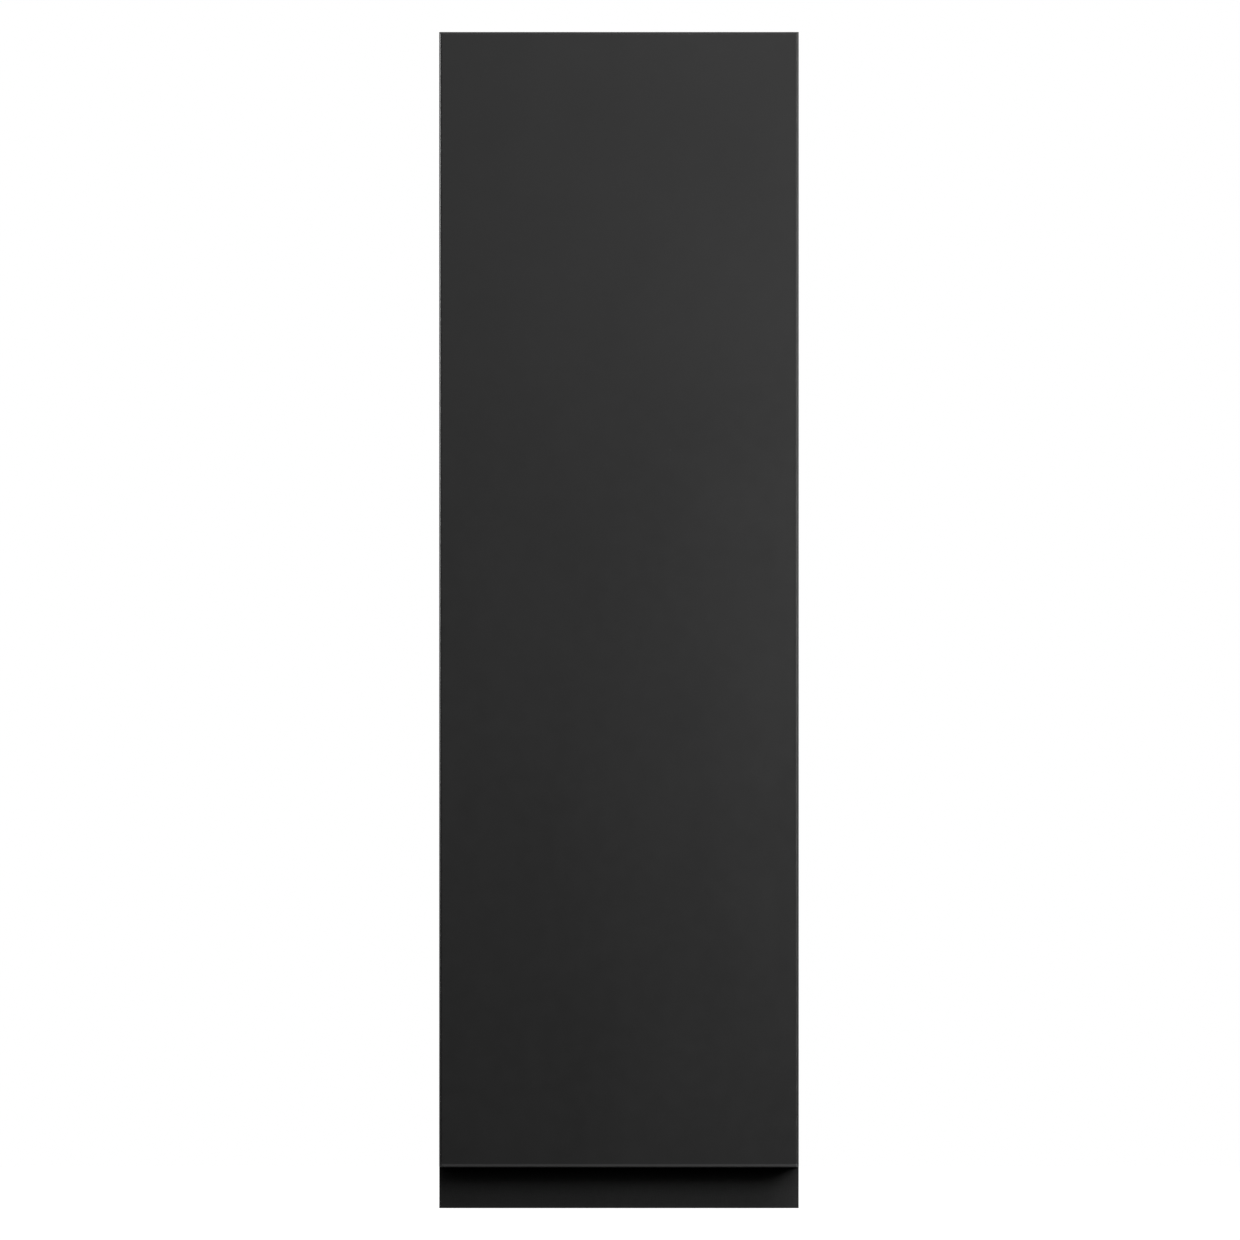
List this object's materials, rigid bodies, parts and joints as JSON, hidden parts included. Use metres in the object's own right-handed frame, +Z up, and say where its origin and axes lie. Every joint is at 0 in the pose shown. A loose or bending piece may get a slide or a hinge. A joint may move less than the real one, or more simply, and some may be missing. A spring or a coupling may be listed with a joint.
{
  "type": "wardrobe",
  "caption": "Tall narrow wardrobe: plain handleless overlay door on concealed hinges, hat shelf, clothes rail and shoe shelf, on a recessed plinth with levelling feet.",
  "frame": {"origin": "centre of the closed wardrobe's footprint, on the floor", "axes": "+Z up, -Y out of the door's front, +X to the right as seen by someone facing the door"},
  "size_m": [0.6, 0.58, 1.963],
  "materials": {
    "door_lacquer": "matt anthracite lacquer on fibreboard",
    "carcass_board": "anthracite melamine outside, light grey linen melamine inside, on particleboard",
    "plinth_board": "anthracite melamine on particleboard",
    "back_board": "light grey linen melamine on thin fibreboard, bare at the rear",
    "beech": "bare beech",
    "rail_steel": "chromed tube",
    "zinc": "die-cast zinc",
    "nickel_steel": "nickel-plated steel",
    "latch_plastic": "grey plastic",
    "black_plastic": "black plastic",
    "clear_bumper": "clear soft polyurethane"
  },
  "bodies": {
    "carcass": {"access_caps": "black_plastic", "back_panel": "back_board", "bottom_panel": "carcass_board", "cam_bolts": "nickel_steel", "cam_locks": "zinc", "clothes_rail": "rail_steel", "corner_block_1": "black_plastic", "corner_block_2": "black_plastic", "corner_block_3": "black_plastic", "corner_block_4": "black_plastic", "corner_block_screws": "nickel_steel", "dowels": "beech", "hat_shelf": "carcass_board", "hinge_adjusters": "nickel_steel", "hinge_arm_1": "nickel_steel", "hinge_arm_2": "nickel_steel", "hinge_arm_3": "nickel_steel", "hinge_arm_4": "nickel_steel", "hinge_plate_1": "nickel_steel", "hinge_plate_2": "nickel_steel", "hinge_plate_3": "nickel_steel", "hinge_plate_4": "nickel_steel", "hinge_plate_screws": "nickel_steel", "latch_housing_lower": "latch_plastic", "latch_housing_upper": "latch_plastic", "plinth_front": "plinth_board", "plinth_rear": "plinth_board", "plinth_side_left": "plinth_board", "plinth_side_right": "plinth_board", "rail_socket_left": "zinc", "rail_socket_right": "zinc", "rail_socket_screws": "nickel_steel", "shelf_pins": "nickel_steel", "shoe_shelf": "carcass_board", "side_panel_left": "carcass_board", "side_panel_right": "carcass_board", "top_panel": "carcass_board", "wall_bracket_left": "nickel_steel", "wall_bracket_right": "nickel_steel", "wall_bracket_screws": "nickel_steel"},
    "door": {"door_bumpers": "clear_bumper", "door_panel": "door_lacquer", "hinge_cup_1": "nickel_steel", "hinge_cup_2": "nickel_steel", "hinge_cup_3": "nickel_steel", "hinge_cup_4": "nickel_steel", "hinge_cup_screws": "nickel_steel", "hinge_pin_1": "nickel_steel", "hinge_pin_2": "nickel_steel", "hinge_pin_3": "nickel_steel", "hinge_pin_4": "nickel_steel", "strike_plate_lower": "nickel_steel", "strike_plate_upper": "nickel_steel"},
    "latch_plunger_lower": {"latch_plunger_lower": "latch_plastic"},
    "latch_plunger_upper": {"latch_plunger_upper": "latch_plastic"},
    "levelling_foot_1": {"levelling_foot_1": "black_plastic"},
    "levelling_foot_2": {"levelling_foot_2": "black_plastic"},
    "levelling_foot_3": {"levelling_foot_3": "black_plastic"},
    "levelling_foot_4": {"levelling_foot_4": "black_plastic"}
  },
  "joints": [
    {"name": "door_swing", "type": "hinge", "parent": "carcass", "child": "door", "pos_m": [-0.2901, -0.2805, 0], "axis": [0, 0, -1], "range_deg": [0, 100]},
    {"name": "push_latch_lower", "type": "slide", "parent": "carcass", "child": "latch_plunger_lower", "axis": [0, -1, 0], "range_m": [0, 0.037]},
    {"name": "push_latch_upper", "type": "slide", "parent": "carcass", "child": "latch_plunger_upper", "axis": [0, -1, 0], "range_m": [0, 0.037]},
    {"name": "levelling_foot_1_travel", "type": "slide", "parent": "carcass", "child": "levelling_foot_1", "axis": [0, 0, -1], "range_m": [0, 0.012]},
    {"name": "levelling_foot_2_travel", "type": "slide", "parent": "carcass", "child": "levelling_foot_2", "axis": [0, 0, -1], "range_m": [0, 0.012]},
    {"name": "levelling_foot_3_travel", "type": "slide", "parent": "carcass", "child": "levelling_foot_3", "axis": [0, 0, -1], "range_m": [0, 0.012]},
    {"name": "levelling_foot_4_travel", "type": "slide", "parent": "carcass", "child": "levelling_foot_4", "axis": [0, 0, -1], "range_m": [0, 0.012]}
  ],
  "couplings": [
    {"joint": "push_latch_lower", "follows": "door_swing", "m_per_rad": 0.0211},
    {"joint": "push_latch_upper", "follows": "door_swing", "m_per_rad": 0.0211}
  ]
}
